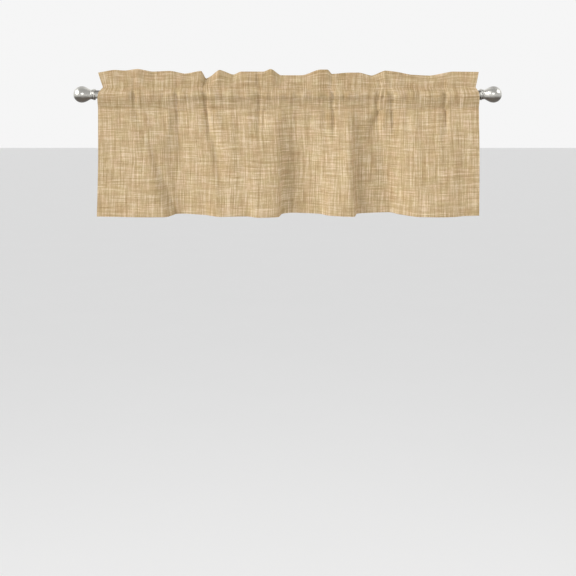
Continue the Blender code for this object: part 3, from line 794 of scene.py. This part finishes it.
class Section:
    """The shape of the sewn cloth at each station: rows of points up the front, down the back."""

    def __init__(self, cloth):
        self.cloth = cloth
        self.stations = s = crowded_stations(cloth.sections)
        self.out, self.x = ([fold_column(f"{way}_{level}", s)
                             for level in ("pocket", "middle", "hem")] for way in ("out", "x"))
        self.seam_x = fold_column("x_seam", s)
        self.hem_z = HEM_Z - HEM_DROP * self.out[2]
        header_x, header_z = zip(*HEADER_EDGE)
        top = smooth_through(header_x, header_z, s)
        straight = np.interp(s, header_x, header_z)
        self.header_z = HEADER_CURVE * top + (1 - HEADER_CURVE) * straight
        self.header_out = HEADER_LEAN * (self.header_z - HEADER_MEAN_Z)
        self.seam_out = np.clip(SEAM_LEAN * (self.header_out - gathers(s, LOWER_SEAM_Z)),
                                -SEAM_SWAY, SEAM_SWAY)
        self.low_out = self.out[0] - GATHER_IN_PANEL * gathers(s, LOWER_SEAM_Z)
        self.wave = waves(s)

    def row(self, x, out, z):
        """A row of points, one for each station. Any of the three may be one number."""
        flat = 0 * self.stations
        return np.stack([x + flat, -(out + flat), z + flat], axis=1)

    def panel_rows(self):
        """Hem to lower seam, in rows that lie closer near the seam."""
        rows = []
        top = LOWER_SEAM_Z - SEAM_HEIGHT / 2
        for part in [*np.linspace(1, CLOSE_SHARE, PANEL_ROWS + 1)[:-1],
                     *np.linspace(CLOSE_SHARE, 0, CLOSE_ROWS)]:
            z = top + (self.hem_z - top) * part
            out = down_the_cloth(self.out, z, FOLD_HASTE)
            out = out - GATHER_IN_PANEL * gathers(self.stations, z)
            ripple = self.cloth.panel_wave * self.wave * ease(z, GATHER_FADE_Z, -0.060)
            ripple = ripple * ease(z, LOWER_SEAM_Z + 0.001, LOWER_SEAM_Z - 0.010)
            x = down_the_cloth(self.x, z)
            small = creases(x, z) + self.cloth.crumple * crumpled(x, z)
            rows.append(self.row(x, out + ripple + small, z))
        return rows

    def pocket_rows(self, front):
        """Lower seam to upper seam, round the rod's front or back."""
        s = self.stations
        pocket_out, low_out = self.out[0], self.low_out
        low_z, top_z = LOWER_SEAM_Z + SEAM_HEIGHT / 2, UPPER_SEAM_Z - SEAM_HEIGHT / 2
        puff = pocket_out - pocket_out.min() + LEAST_PUFF
        puff = puff * (1 - np.clip(gathers(s, 0.0) / FULL_PINCH, 0, 1))
        under = -math.asin(ROD_RADIUS / abs(low_z))
        over = math.asin(ROD_RADIUS / top_z)
        reach = ROD_RADIUS + ROD_CLEARANCE + self.cloth.thickness

        def x_at(z):
            climb = np.clip((z - low_z) / (top_z - low_z), 0, 1)
            return self.x[0] + (self.seam_x - self.x[0]) * climb ** EDGE_DRAW_POWER

        def raised(x, z):
            small = creases(x, z) + self.cloth.pocket_wave * self.wave
            return np.maximum(small * (1.0 if front else 0.5), -puff)

        way = 1 if front else -1
        arc = []
        for angle in np.linspace(under, over, ROUND_ROD_ROWS):
            climb = (angle - under) / (over - under)
            share = np.interp(climb, [0, 0.5, 1], PUFF_ROUND_ROD)
            z = reach * math.sin(angle)
            x = x_at(z)
            away = share * puff * (1 if front else PUFF_BACK)
            away = reach + np.maximum(away + share * raised(x, z), 0)
            arc.append(self.row(x, way * away * math.cos(angle), away * math.sin(angle)))

        touch_out, touch_z = -arc[0][:, 1], arc[0][:, 2]
        if front:
            turn = (TURN_UNDER_Z - low_z) / (touch_z.mean() - low_z)
            slack = ease(s, *SLACK_LEFT) * ease(s, *SLACK_RIGHT)
            turn_out = (TURN_UNDER_OUT + (TAUT_OUT - TURN_UNDER_OUT) * (1 - slack)
                        + (1 - turn) * (low_out - pocket_out.mean())
                        + TURN_UNDER_PUFF * (puff + 0.5 * raised(self.x[0], TURN_UNDER_Z)))
            knots, values = [0, turn, 1], np.stack([low_out, turn_out, touch_out])
        else:
            knots, values = [0, 1], np.stack([low_out, touch_out])
        parts = np.linspace(0, 1, POCKET_ROWS + 2)[1:-1]
        rows = []
        for part, out in zip(parts, smooth_through(knots, values, parts)):
            z = low_z + (touch_z - low_z) * part
            rows.append(self.row(x_at(z), out, z))
        rows += arc
        last_out, last_z = -rows[-1][:, 1], rows[-1][:, 2]
        for part in OVER_ROD_PARTS:
            z = last_z + (top_z - last_z) * part
            out = last_out + (self.seam_out - last_out) * part
            rows.append(self.row(x_at(z), out, z))
        return rows

    def seam_rows(self, z, x, out):
        """A stitched strip."""
        return [self.row(x, out, z + part * SEAM_HEIGHT) for part in SEAM_PARTS]

    def header_rows(self):
        """Upper seam to the header's top edge."""
        rows = []
        bottom = UPPER_SEAM_Z + SEAM_HEIGHT / 2
        peak = self.header_z - self.cloth.thickness / 2 - HEADER_HALF_GAP
        for part in np.linspace(0, 1, HEADER_ROWS + 1)[1:]:
            z = bottom + (peak - bottom) * part
            x = self.seam_x + (self.x[0] - self.seam_x) * part
            out = self.seam_out + (self.header_out - self.seam_out) * part
            small = creases(x, z) + self.cloth.header_wave * waves(self.stations, 1.5 * part)
            rows.append(self.row(x, out + small * ease(part, 0, 0.35), z))
        return rows

    def layers(self):
        """The middle of the cloth, from the hem's turned edge up the front and down the back."""
        thickness = self.cloth.thickness
        together = thickness / 2 + SEAM_HALF_GAP
        panel, header = self.panel_rows(), self.header_rows()
        lower = self.seam_rows(LOWER_SEAM_Z, self.x[0], self.low_out)
        upper = self.seam_rows(UPPER_SEAM_Z, self.seam_x, self.seam_out)
        front, behind = self.pocket_rows(True), self.pocket_rows(False)
        face = pushed([(panel, PANEL_FORWARD), (lower, together), (front, 0.0),
                       (upper, together), (header, HEADER_HALF_GAP)])
        back = pushed([(lower, -together), (behind, 0.0), (upper, -together),
                       (header, -HEADER_HALF_GAP)])
        tail = back[:1].copy()
        tail[:, :, 2] -= SEAM_ALLOWANCE
        tail[:, :, 1] = face[len(panel) - 2, :, 1] + ALLOWANCE_BACK * thickness
        back = np.concatenate([tail, back])

        self.face, self.face_normal, self.back = face, unit_normals(face), back
        self.panel_count = len(panel)
        self.face_seams = [len(panel) + 1, len(panel) + len(lower) + len(front) + 1]
        self.back_seams = [2, len(lower) + len(behind) + 2]
        hem = self.hem_back()
        under = fold_over(hem[-1], face[0], -1)
        self.seam_row = len(hem) + len(under) + len(panel)
        return np.concatenate([hem, under, face, fold_over(face[-1], back[-1], 1), back[::-1]])

    def hem_back(self):
        """The hem's turned layer, from its top edge down to the fold."""
        low, normal = self.face[:self.panel_count], self.face_normal[:self.panel_count]
        behind = low - normal * (self.cloth.thickness + HEM_GAP)
        rise = low[:, :, 2] - low[0, :, 2]
        return np.array([at_heights(behind, rise, np.full(rise.shape[1], depth))
                         for depth in np.linspace(self.cloth.hem_depth, 0, HEM_ROWS)])

    def line_at(self, z):
        """The front face's line of points at a height, with its normals."""
        top = self.panel_count + len(SEAM_PARTS)
        return [at_heights(grid[:top], self.face[:top, :, 2], z)
                for grid in (self.face, self.face_normal)]


def smooth_mesh(name, corners, faces, sharp_from=180):
    """A mesh with smooth faces, apart from edges sharper than the angle given."""
    mesh = bpy.data.meshes.new(name)
    mesh.from_pydata(corners, [], faces)
    mesh.shade_smooth()
    if sharp_from < 180:
        mesh.set_sharp_from_angle(angle=math.radians(sharp_from))
    return mesh


def sheet_mesh(name, middle, thickness, flat):
    """A closed sheet round a grid of middle points, with its flat coordinates as a UV map."""
    rows, count = middle.shape[:2]
    normal = unit_normals(middle)
    corners = np.concatenate([(middle + normal * thickness / 2).reshape(-1, 3),
                              (middle - normal * thickness / 2).reshape(-1, 3)])
    second = rows * count
    index = np.arange(second).reshape(rows, count)
    a, b = index[:-1, :-1].ravel(), index[:-1, 1:].ravel()
    c, d = index[1:, 1:].ravel(), index[1:, :-1].ravel()
    faces = [np.stack([a, b, c, d], 1), np.stack([d, c, b, a], 1) + second]
    for rim in (index[0], index[:, -1], index[-1][::-1], index[:, 0][::-1]):
        faces.append(np.stack([rim[:-1] + second, rim[1:] + second, rim[1:], rim[:-1]], 1))
    faces = np.concatenate(faces)
    mesh = smooth_mesh(name, corners.tolist(), faces.tolist(), 60)
    places = np.concatenate([flat.reshape(-1, 2), flat.reshape(-1, 2)])
    size = places.max(0) - places.min(0)
    fitted = (places - places.min(0)) / size * [1 - 2 * MAP_MARGIN, 0.5 - 3 * MAP_MARGIN]
    fitted += MAP_MARGIN
    fitted[second:, 1] += 0.5
    for map_name, uv in ((FLAT_MAP, places), (PICTURE_MAP, fitted)):
        layer = mesh.uv_layers.new(name=map_name)
        layer.uv.foreach_set("vector", uv[faces.ravel()].astype(np.float32).ravel())
    mesh.validate()
    return mesh


def moving_mean(rows, reach):
    """Each row's mean with its neighbours, up to reach of them on either side."""
    padded = np.pad(rows, ((reach, reach), (0, 0)), mode="edge")
    return sum(padded[i:i + len(rows)] for i in range(2 * reach + 1)) / (2 * reach + 1)


def flat_places(middle, seam=None):
    """Flat coordinates of a grid of points: how far the cloth runs to each of them.

    Every row is taken to be as wide as the mean one, and small waves are left out, so that
    the warp hangs plumb. Past the seam's row, the warp runs on as it crosses that row.
    """
    calm = middle.copy()
    if middle.shape[1] > 3 * CALM_STATIONS:
        calm[:, :, 1] = moving_mean(middle[:, :, 1].T, CALM_STATIONS).T
    steps = np.linalg.norm(np.diff(calm[:, :, :2], axis=1), axis=2)
    across = np.concatenate([np.zeros((len(middle), 1)), np.cumsum(steps, axis=1)], axis=1)
    across *= across[:, -1].mean() / across[:, -1:]
    across = moving_mean(across, CALM_ROWS)
    if seam is not None:
        across[seam:] = across[seam]
    rise = np.linalg.norm(np.diff(middle, axis=0), axis=2).mean(1)
    along = np.concatenate([[0], np.cumsum(rise)])
    return np.stack([across, np.broadcast_to(along[:, None], across.shape)], axis=2)


def ring_faces(first, rings, sides):
    """Faces between rings of corners that follow one another."""
    return [(low + k, low + sides + k, low + sides + (k + 1) % sides, low + (k + 1) % sides)
            for low in range(first, first + (rings - 1) * sides, sides) for k in range(sides)]


def stitch_mesh(name, lines, stitch):
    """Short stitches of round thread along lines of (points, normals)."""
    corners, faces = [], []
    turns = [2 * math.pi * k / STITCH_SIDES for k in range(STITCH_SIDES)]
    for points, normals in lines:
        run = run_along(points)
        places = np.arange(stitch.pitch / 2, run[-1] - stitch.pitch / 2, stitch.pitch)
        at, up = interpolated(places, run, points), interpolated(places, run, normals)
        along = unit(interpolated(places + STITCH_AHEAD, run, points) - at)
        up = unit(up - along * (up * along).sum(1, keepdims=True))
        aside = np.cross(along, up)
        for i in range(len(places)):
            first = len(corners)
            for ring in STITCH_RINGS:
                middle = (at[i] + along[i] * ring.along * stitch.length
                          - up[i] * ring.sunk * stitch.radius)
                for turn in turns:
                    out = math.cos(turn) * aside[i] + math.sin(turn) * up[i]
                    corners.append(middle + out * stitch.radius * ring.share)
            faces += ring_faces(first, len(STITCH_RINGS), STITCH_SIDES)
            faces.append(tuple(range(first, first + STITCH_SIDES)))
            faces.append(tuple(reversed(range(len(corners) - STITCH_SIDES, len(corners)))))
    return smooth_mesh(name, np.array(corners).tolist(), faces)


# ---- finials ----
def finial_outline():
    """From the ball's tip to inside the socket: (radius, place along the axis)."""
    outline = []
    for i in range(1, PROFILE_STEPS + 1):
        turn = math.pi / 2 * i / PROFILE_STEPS
        outline.append((BALL_RADIUS * math.sin(turn), -BALL_RADIUS * math.cos(turn)))
    for i in range(1, PROFILE_STEPS):
        part = i / PROFILE_STEPS
        swell = math.cos(math.pi / 2 * part) ** TAPER_POWER
        outline.append((NECK_RADIUS + (BALL_RADIUS - NECK_RADIUS) * swell, NECK_LENGTH * part))
    mouth, floor = ROD_RADIUS + SOCKET_GAP, COLLAR_END - SOCKET_DEPTH
    return [*outline, *COLLAR, (mouth + SOCKET_GAP, COLLAR_END), (mouth, COLLAR_END - MOUTH_BEVEL),
            (mouth, floor), (SOCKET_FLOOR, floor)]


def finial_mesh(name, side, sides):
    """The outline turned about the rod's axis. side is -1 for the left end, +1 for the right."""
    outline = finial_outline()
    turns = [2 * math.pi * k / sides for k in range(sides)]
    corners = [(side * (BALL_X + BALL_RADIUS), 0, 0)]
    for radius, along in outline:
        corners += [(side * (BALL_X - along), radius * math.cos(turn), radius * math.sin(turn))
                    for turn in turns]
    floor = len(corners)
    corners.append((side * (BALL_X - outline[-1][1]), 0, 0))
    faces = ring_faces(1, len(outline), sides)
    for k in range(sides):
        after = (k + 1) % sides
        faces += [(0, 1 + k, 1 + after), (floor, floor - sides + after, floor - sides + k)]
    if side < 0:
        faces = [face[::-1] for face in faces]
    return smooth_mesh(name, corners, faces, 42)


# ---- pieces ----
def add_piece(name, mesh, material):
    """A piece of the object, in the slot that its material stands for."""
    piece = bpy.data.objects.new(name, mesh)
    mesh.materials.append(material)
    bpy.context.scene.collection.objects.link(piece)
    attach(piece, "root")
    return piece


class VALANCE_OT_make_cloth(Operator):
    """Make the cloth: front panel, pocket round the rod, header and turned hems"""
    bl_idname = "valance.make_cloth"
    bl_label = "Make Cloth"

    def execute(self, context):
        cloth, weave = context.scene.valance_cloth, context.scene.valance_weave
        section = Section(cloth)
        middle = section.layers()
        flat = flat_places(middle, section.seam_row)
        mesh = sheet_mesh("valance_cloth", middle, cloth.thickness, flat)
        linen = material_once("slub_linen", linen_material, weave)
        piece = add_piece("valance_cloth", mesh, linen)
        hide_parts("valance")

        u = flat[len(flat) // 3, :, 0]
        behind = section.face - section.face_normal * (2 * cloth.thickness + SIDE_HEM_GAP)
        for side, from_edge in (("left", u), ("right", u[-1] - u)):
            strip = behind[:section.panel_count, from_edge <= cloth.side_hem]
            places = flat_places(strip) + SIDE_HEM_SHIFT
            hem = sheet_mesh(f"side_hem_{side}", strip, cloth.thickness, places)
            add_piece(f"side_hem_{side}", hem, linen)
        stitching = self.sew(context, section, u)
        return {"FINISHED"}

    def sew(self, context, section, u):
        """Rows of stitches: both pocket seams, the hem, and the side hems."""
        cloth, stitch = context.scene.valance_cloth, context.scene.valance_stitch
        thread = material_once("sewing_thread", thread_material, context.scene.valance_weave)
        thickness = cloth.thickness
        inside = (u > STITCH_MARGIN) & (u < u[-1] - STITCH_MARGIN)

        def lifted(points, normals, lift, keep=inside):
            """A line of stitches on the front of the cloth, or the back if lift is negative."""
            points, normals = points[keep], normals[keep]
            return points + normals * lift, normals * math.copysign(1, lift)

        face, normal, back = section.face, section.face_normal, section.back
        back_normal = unit_normals(back)
        seams = [lifted(face[row], normal[row], thickness / 2) for row in section.face_seams]
        seams += [lifted(back[row], back_normal[row], -thickness / 2)
                  for row in section.back_seams]
        hem_line = section.line_at(face[0, :, 2] + cloth.hem_depth - HEM_STITCH_INSET)
        hems = [lifted(*hem_line, thickness / 2),
                lifted(*hem_line, -(1.5 * thickness + HEM_GAP))]
        inset = cloth.side_hem - SIDE_STITCH_INSET
        rows = slice(1, section.panel_count)
        for station in np.searchsorted(u, [inset, u[-1] - inset]):
            for lift in (thickness / 2, -(2.5 * thickness + SIDE_HEM_GAP)):
                hems.append(lifted(face[:, station], normal[:, station], lift, rows))
        return [add_piece(name, stitch_mesh(name, lines, stitch), thread)
                for name, lines in (("pocket_stitching", seams), ("hem_stitching", hems))]


class VALANCE_OT_make_finials(Operator):
    """Make the two turned finials and give the rod its nickel finish"""
    bl_idname = "valance.make_finials"
    bl_label = "Make Finials"

    def execute(self, context):
        metal = context.scene.valance_metal
        nickel = material_once("brushed_nickel", nickel_material, metal)
        for name, side in (("left", -1), ("right", 1)):
            mesh = finial_mesh(f"turned_finial_{name}", side, metal.sides)
            piece = add_piece(f"turned_finial_{name}", mesh, nickel)
            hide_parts(f"finial_{name}")
        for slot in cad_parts["rod"].material_slots:
            slot.material = nickel
        return {"FINISHED"}


class VALANCE_OT_make_stage(Operator):
    """Make the floor, the lights and the camera"""
    bl_idname = "valance.make_stage"
    bl_label = "Make Stage"

    def execute(self, context):
        stage, scene = context.scene.valance_stage, context.scene
        corners = [(x * FLOOR_REACH, y * FLOOR_REACH, 0)
                   for x, y in ((-1, -1), (1, -1), (1, 1), (-1, 1))]
        floor = bpy.data.meshes.new("floor")
        floor.from_pydata(corners, [], [(0, 1, 2, 3)])
        floor.materials.append(material_once("studio_floor", floor_material, stage))
        self.add("floor", floor, (0, 0, -stage.floor_drop))
        scene.world = self.world(stage)

        sun = bpy.data.lights.new("key", "SUN")
        sun.energy, sun.angle = stage.key, SUN_ANGLE
        self.aim(self.add("key", sun, SUN_PLACE), (0, 0, 0))
        for lamp in LAMPS:
            panel = bpy.data.lights.new(lamp.name, "AREA")
            panel.energy, panel.shape = lamp.power, "RECTANGLE"
            panel.size, panel.size_y = lamp.wide, lamp.high
            self.aim(self.add(lamp.name, panel, lamp.place), lamp.aim)

        camera = bpy.data.cameras.new("camera")
        camera.lens = camera.sensor_width * stage.distance / stage.frame_width
        camera.shift_y = -(stage.centre_drop - stage.eye_drop) / stage.frame_width
        camera.dof.use_dof = False
        scene.camera = self.add("camera", camera, (CAMERA_X, -stage.distance, -stage.eye_drop))
        scene.camera.rotation_euler = (math.pi / 2, 0, 0)
        scene.view_settings.view_transform = "Standard"
        return {"FINISHED"}

    def add(self, name, data, place):
        """An object of the stage."""
        holder = bpy.data.objects.new(name, data)
        holder.location = place
        bpy.context.scene.collection.objects.link(holder)
        return holder

    def aim(self, holder, at):
        """Turns a light towards a place."""
        holder.rotation_euler = (Vector(at) - holder.location).to_track_quat("-Z", "Y").to_euler()

    def world(self, stage):
        """A bright studio wall behind the rod, and a dimmer room in front of it."""
        s = Shading(bpy.data.worlds.new("studio"))
        facing = s.parts(s.node("ShaderNodeTexCoord")[0])[1]
        strength = s.node("ShaderNodeMapRange", None,
                          {"Value": facing, "From Min": ROOM_ENDS, "From Max": WALL_STARTS,
                           "To Min": stage.sky, "To Max": stage.backdrop})[0]
        light = s.node("ShaderNodeBackground", None,
                       {"Color": opaque((1, 1, 1)), "Strength": strength})[0]
        s.node("ShaderNodeOutputWorld", None, {"Surface": light})
        return s.owner


class VALANCE_PT_sidebar(Panel):
    """Lists the valance's settings and operators"""
    bl_idname = "VALANCE_PT_sidebar"
    bl_label = "Rod Pocket Valance"
    bl_space_type = "VIEW_3D"
    bl_region_type = "UI"
    bl_category = "Valance"

    def draw(self, context):
        for attribute, group in SETTINGS.items():
            box = self.layout.box()
            box.label(text=group.__doc__)
            for name in group.__annotations__:
                box.prop(getattr(context.scene, attribute), name)
        for operator in OPERATORS:
            self.layout.operator(operator.bl_idname)


SETTINGS = {
    "valance_cloth": ClothSettings,
    "valance_weave": WeaveSettings,
    "valance_stitch": StitchSettings,
    "valance_metal": MetalSettings,
    "valance_stage": StageSettings,
}
OPERATORS = (VALANCE_OT_make_cloth, VALANCE_OT_make_finials, VALANCE_OT_make_stage)


def register():
    for cls in (*SETTINGS.values(), *OPERATORS, VALANCE_PT_sidebar):
        bpy.utils.register_class(cls)
    for attribute, group in SETTINGS.items():
        setattr(bpy.types.Scene, attribute, PointerProperty(type=group))


def unregister():
    for attribute in SETTINGS:
        delattr(bpy.types.Scene, attribute)
    for cls in reversed((*SETTINGS.values(), *OPERATORS, VALANCE_PT_sidebar)):
        bpy.utils.unregister_class(cls)


def main():
    register()
    bpy.ops.valance.make_cloth()
    bpy.ops.valance.make_finials()
    bpy.ops.valance.make_stage()


if __name__ == "__main__":
    main()
